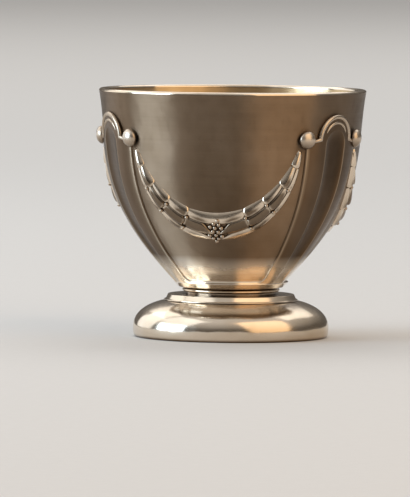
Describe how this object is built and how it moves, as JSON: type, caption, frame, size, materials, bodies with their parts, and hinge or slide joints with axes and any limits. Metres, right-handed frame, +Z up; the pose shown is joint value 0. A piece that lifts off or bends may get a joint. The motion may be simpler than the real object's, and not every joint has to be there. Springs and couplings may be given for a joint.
{
  "type": "egg cup",
  "caption": "Footed silver egg cup: a deep round bowl with arched fluted panels, laurel festoons and beads, on a domed foot.",
  "frame": {"origin": "centre of the flat ring that the foot stands on", "axes": "+Z up along the axis of the cup, -Y to the middle of the front festoon, +X to the right"},
  "size_m": [0.05, 0.0502, 0.0464],
  "materials": {
    "satin_silver": "satin, finely brushed round the axis, warm where it is worn",
    "polished_silver": "polished, with fine handling marks",
    "chased_silver": "bright on the high places, darkened in the hollows"
  },
  "bodies": {
    "root": {"foot": "polished_silver", "foot_collar": "polished_silver", "neck_ring": "polished_silver", "bowl": "satin_silver", "rim_wire": "polished_silver", "panel_right": "satin_silver", "panel_back": "satin_silver", "panel_left": "satin_silver", "festoon_front": "chased_silver", "festoon_rear_right": "chased_silver", "festoon_rear_left": "chased_silver", "bead_front_right": "chased_silver", "bead_side_right": "chased_silver", "bead_rear_right": "chased_silver", "bead_rear_left": "chased_silver", "bead_side_left": "chased_silver", "bead_front_left": "chased_silver"}
  },
  "joints": []
}
